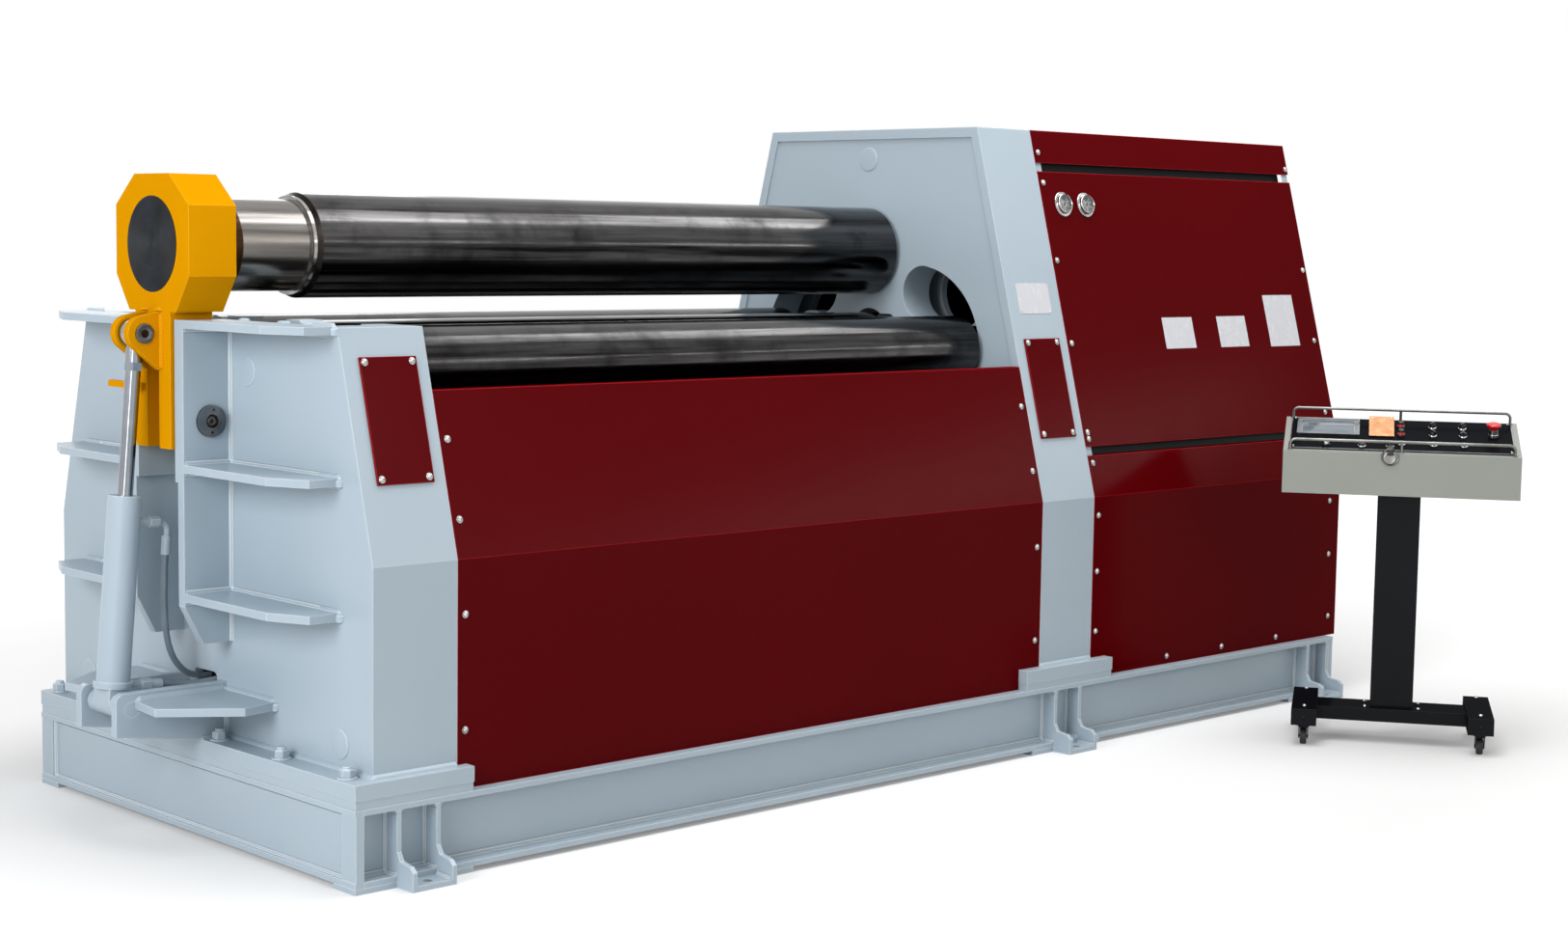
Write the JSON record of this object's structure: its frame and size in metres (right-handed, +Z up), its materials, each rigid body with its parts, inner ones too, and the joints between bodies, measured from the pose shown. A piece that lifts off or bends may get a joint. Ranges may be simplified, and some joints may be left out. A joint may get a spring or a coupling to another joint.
{
  "type": "plate rolling machine",
  "caption": "Hydraulic plate rolling machine: driven top, bottom and swinging side rolls between two frames, a drop end that tilts out, and a mobile control desk.",
  "frame": {"origin": "on the floor under the roll plane, midway between the four outer anchor bolts", "axes": "+X along the rolls from the drop end to the drive end, +Y from the front to the back, +Z up"},
  "size_m": [4.2645, 2.5352, 1.866],
  "materials": {
    "frame_paint": "pale blue-grey gloss paint on thick plate, with a slight orange peel",
    "cover_paint": "deep red gloss paint on sheet steel",
    "housing_paint": "dark grey paint inside the cabinet",
    "head_paint": "amber yellow gloss paint with weld beads under it",
    "roll_steel": "hardened roll steel, dark and oiled, with lengthwise streaks",
    "cap_steel": "dark turned steel with fine rings",
    "pin_steel": "oiled dark steel",
    "rod_chrome": "hard chrome, polished",
    "rail_chrome": "bright chrome",
    "gauge_steel": "stainless rim round a white dial",
    "desk_paint": "light grey powder coat",
    "desk_black": "black gloss powder coat",
    "control_plastic": "black and coloured control knobs",
    "fork_steel": "black zinc and paint",
    "wheel_rubber": "black castor rubber",
    "hose_rubber": "hydraulic hose with a coat of the frame's paint"
  },
  "bodies": {
    "machine": {"base_side_beams": "frame_paint", "base_end_beams": "frame_paint", "base_cross_beams": "frame_paint", "feet": "frame_paint", "sole_plates": "frame_paint", "left_frame": "frame_paint", "frame_ribs": "frame_paint", "drive_frame": "frame_paint", "front_panel": "cover_paint", "rear_panel": "cover_paint", "cover_plates": "cover_paint", "cabinet_frame": "housing_paint", "cabinet_hood": "cover_paint", "cabinet_doors": "cover_paint", "cabinet_lower_covers": "cover_paint", "cabinet_end": "cover_paint", "pressure_gauges": "gauge_steel", "swing_pins": "pin_steel", "lift_cylinders": "roll_steel", "hinge_pin": "pin_steel", "cylinder_bracket": "frame_paint", "upper_hose": "hose_rubber", "lower_hose": "hose_rubber", "desk_box": "desk_paint", "desk_panel": "desk_black", "desk_rails": "rail_chrome", "desk_controls": "control_plastic", "desk_post": "desk_black", "desk_base": "desk_black"},
    "top_roll_body": {"top_roll": "roll_steel"},
    "lift_body": {"lift_blocks": "frame_paint"},
    "bottom_roll_body": {"bottom_roll": "roll_steel"},
    "front_arm_body": {"front_swing_arms": "frame_paint"},
    "rear_arm_body": {"rear_swing_arms": "frame_paint"},
    "front_roll_body": {"front_side_roll": "roll_steel"},
    "rear_roll_body": {"rear_side_roll": "roll_steel"},
    "drop_end_body": {"drop_end": "head_paint", "stop_tab": "head_paint", "bearing_cap": "cap_steel", "clevis_pin": "pin_steel"},
    "barrel_body": {"cylinder_barrel": "frame_paint", "hose_fittings": "frame_paint"},
    "rod_body": {"cylinder_rod": "rod_chrome"},
    "fork_body_1": {"castor_fork_1": "fork_steel"},
    "wheel_body_1": {"castor_wheel_1": "wheel_rubber"},
    "fork_body_2": {"castor_fork_2": "fork_steel"},
    "wheel_body_2": {"castor_wheel_2": "wheel_rubber"},
    "fork_body_3": {"castor_fork_3": "fork_steel"},
    "wheel_body_3": {"castor_wheel_3": "wheel_rubber"},
    "fork_body_4": {"castor_fork_4": "fork_steel"},
    "wheel_body_4": {"castor_wheel_4": "wheel_rubber"}
  },
  "joints": [
    {"name": "top_roll_spin", "type": "hinge", "parent": "machine", "child": "top_roll_body", "pos_m": [0, 0, 1.486], "axis": [1, 0, 0], "continuous": true},
    {"name": "bottom_lift", "type": "slide", "parent": "machine", "child": "lift_body", "axis": [0, 0, 1], "range_m": [0, 0.05]},
    {"name": "bottom_roll_spin", "type": "hinge", "parent": "lift_body", "child": "bottom_roll_body", "pos_m": [0, 0, 1.178], "axis": [1, 0, 0], "continuous": true},
    {"name": "front_swing", "type": "hinge", "parent": "machine", "child": "front_arm_body", "pos_m": [0, -0.206, 1.18], "axis": [-1, 0, 0], "range_deg": [0, 79]},
    {"name": "front_roll_spin", "type": "hinge", "parent": "front_arm_body", "child": "front_roll_body", "pos_m": [0, -0.38756, 1.1927], "axis": [1, 0, 0], "continuous": true},
    {"name": "rear_swing", "type": "hinge", "parent": "machine", "child": "rear_arm_body", "pos_m": [0, 0.206, 1.18], "axis": [1, 0, 0], "range_deg": [0, 79]},
    {"name": "rear_roll_spin", "type": "hinge", "parent": "rear_arm_body", "child": "rear_roll_body", "pos_m": [0, 0.38756, 1.1927], "axis": [1, 0, 0], "continuous": true},
    {"name": "drop_end_tilt", "type": "hinge", "parent": "machine", "child": "drop_end_body", "pos_m": [-2.007, 0, 1.055], "axis": [0, -1, 0], "range_deg": [0, 75]},
    {"name": "cylinder_tilt", "type": "hinge", "parent": "machine", "child": "barrel_body", "pos_m": [-2.211, 0, 0.357], "axis": [0, -1, 0], "range_deg": [0, 7.88]},
    {"name": "cylinder_slide", "type": "slide", "parent": "barrel_body", "child": "rod_body", "axis": [0.081, 0, 0.9967], "range_m": [-0.2856, 0]},
    {"name": "castor_1_swivel", "type": "hinge", "parent": "machine", "child": "fork_body_1", "pos_m": [1.1429, -1.20283, 0.0635], "axis": [0, 0, 1], "continuous": true},
    {"name": "castor_1_roll", "type": "hinge", "parent": "fork_body_1", "child": "wheel_body_1", "pos_m": [1.15294, -1.19626, 0.025], "axis": [0.5476, -0.8368, 0], "continuous": true},
    {"name": "castor_2_swivel", "type": "hinge", "parent": "machine", "child": "fork_body_2", "pos_m": [1.39727, -1.03638, 0.0635], "axis": [0, 0, 1], "continuous": true},
    {"name": "castor_2_roll", "type": "hinge", "parent": "fork_body_2", "child": "wheel_body_2", "pos_m": [1.40732, -1.0298, 0.025], "axis": [0.5476, -0.8368, 0], "continuous": true},
    {"name": "castor_3_swivel", "type": "hinge", "parent": "machine", "child": "fork_body_3", "pos_m": [1.42873, -1.63963, 0.0635], "axis": [0, 0, 1], "continuous": true},
    {"name": "castor_3_roll", "type": "hinge", "parent": "fork_body_3", "child": "wheel_body_3", "pos_m": [1.43877, -1.63305, 0.025], "axis": [0.5476, -0.8368, 0], "continuous": true},
    {"name": "castor_4_swivel", "type": "hinge", "parent": "machine", "child": "fork_body_4", "pos_m": [1.6831, -1.47317, 0.0635], "axis": [0, 0, 1], "continuous": true},
    {"name": "castor_4_roll", "type": "hinge", "parent": "fork_body_4", "child": "wheel_body_4", "pos_m": [1.69314, -1.4666, 0.025], "axis": [0.5476, -0.8368, 0], "continuous": true}
  ],
  "couplings": [
    {"joint": "cylinder_tilt", "follows": "drop_end_tilt", "ratio": 0.10495},
    {"joint": "cylinder_slide", "follows": "drop_end_tilt", "m_per_rad": -0.21806}
  ]
}
